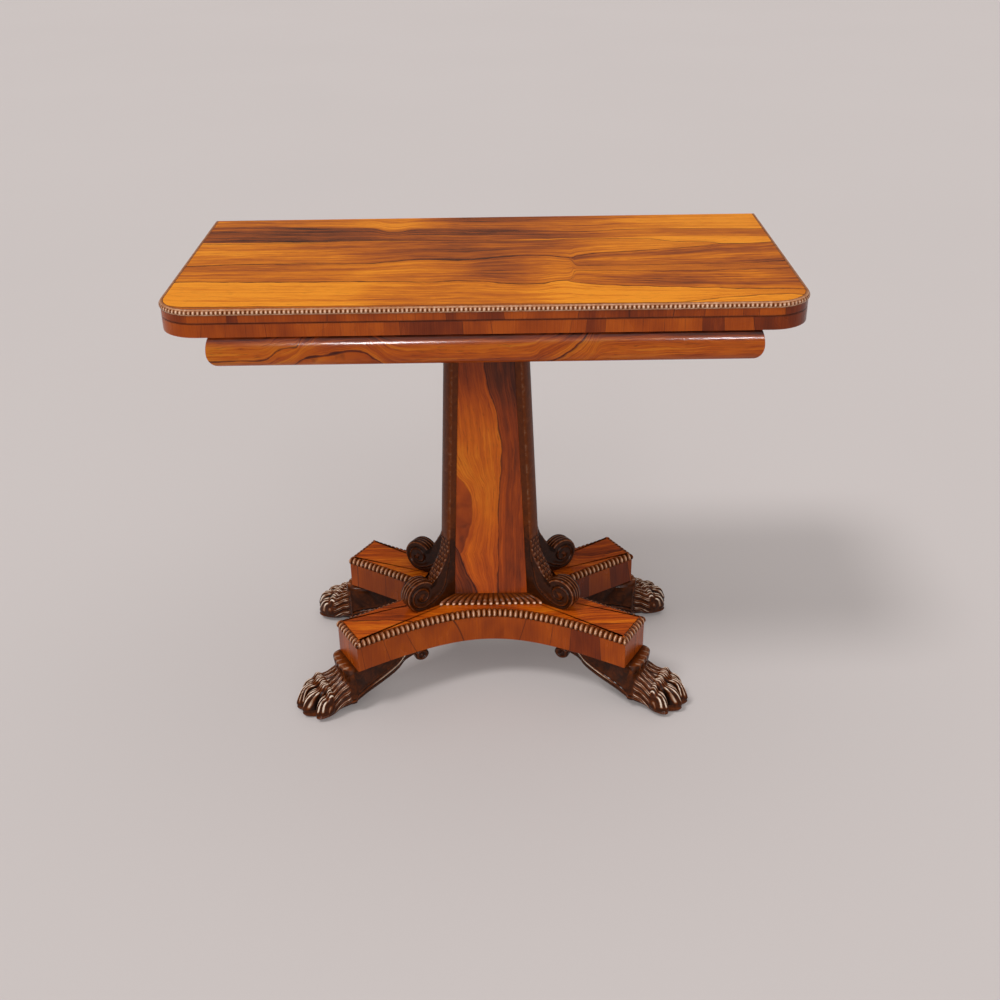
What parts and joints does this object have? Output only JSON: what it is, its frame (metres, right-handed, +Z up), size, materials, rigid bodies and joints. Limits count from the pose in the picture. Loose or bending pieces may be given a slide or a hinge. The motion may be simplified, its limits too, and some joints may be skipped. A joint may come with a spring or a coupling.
{
  "type": "card table",
  "caption": "Card table with a swivelling fold-over top, beaded edge and cushion frieze on a tapered column with scrolled corner consoles, a hollow-sided platform and carved paw feet.",
  "frame": {"origin": "on the floor under the middle of the closed top", "axes": "+X along the length of the closed top, +Y to the hinge side at the back, +Z up"},
  "size_m": [0.9176, 0.4585, 0.74],
  "materials": {
    "rosewood": "french polished",
    "dark_carved_rosewood": "carved and polished dark",
    "pine": "unfinished",
    "brass": "tarnished",
    "iron": "dull",
    "green_baize": "napped wool"
  },
  "bodies": {
    "base": {"platform": "rosewood", "platform_beading": "dark_carved_rosewood", "paw_foot_front_left": "dark_carved_rosewood", "paw_foot_front_right": "dark_carved_rosewood", "paw_foot_back_left": "dark_carved_rosewood", "paw_foot_back_right": "dark_carved_rosewood", "column_core": "rosewood", "console_front_left": "dark_carved_rosewood", "console_front_right": "dark_carved_rosewood", "console_back_left": "dark_carved_rosewood", "console_back_right": "dark_carved_rosewood", "column_beading_front": "dark_carved_rosewood", "column_beading_back": "dark_carved_rosewood", "column_beading_left": "dark_carved_rosewood", "column_beading_right": "dark_carved_rosewood", "rail_front": "pine", "rail_back": "pine", "rail_left": "pine", "rail_right": "pine", "frieze_front": "rosewood", "frieze_back": "rosewood", "frieze_left": "rosewood", "frieze_right": "rosewood", "column_bearer": "pine", "well_floor_left": "pine", "well_floor_right": "pine", "pivot_rail": "pine"},
    "lower_top": {"lower_leaf": "rosewood", "lower_baize": "green_baize", "pivot_plate": "iron", "pivot_bolt": "iron", "pivot_washer": "iron", "pivot_nut": "iron", "pivot_screw_front": "iron", "pivot_screw_back": "iron", "stop_peg": "pine", "hinge_plate_lower_left": "brass", "hinge_plate_lower_right": "brass", "hinge_pin_lower_left": "brass", "hinge_pin_lower_right": "brass", "hinge_screw_lower_left_near": "brass", "hinge_screw_lower_left_far": "brass", "hinge_screw_lower_right_near": "brass", "hinge_screw_lower_right_far": "brass"},
    "hinge_links": {"hinge_link_left": "brass", "hinge_link_right": "brass"},
    "upper_top": {"upper_leaf": "rosewood", "upper_baize": "green_baize", "top_beading": "dark_carved_rosewood", "hinge_plate_upper_left": "brass", "hinge_plate_upper_right": "brass", "hinge_pin_upper_left": "brass", "hinge_pin_upper_right": "brass", "hinge_screw_upper_left_near": "brass", "hinge_screw_upper_left_far": "brass", "hinge_screw_upper_right_near": "brass", "hinge_screw_upper_right_far": "brass"}
  },
  "joints": [
    {"name": "top_swivel", "type": "hinge", "parent": "base", "child": "lower_top", "pos_m": [0.11425, 0.11425, 0.6998], "axis": [0, 0, 1], "range_deg": [0, 90]},
    {"name": "link_turn", "type": "hinge", "parent": "lower_top", "child": "hinge_links", "pos_m": [0, 0.223, 0.7144], "axis": [-1, 0, 0], "range_deg": [0, 90]},
    {"name": "leaf_fold", "type": "hinge", "parent": "hinge_links", "child": "upper_top", "pos_m": [0, 0.223, 0.7254], "axis": [-1, 0, 0], "range_deg": [0, 90]}
  ],
  "couplings": [
    {"joint": "link_turn", "follows": "leaf_fold", "ratio": 1}
  ]
}
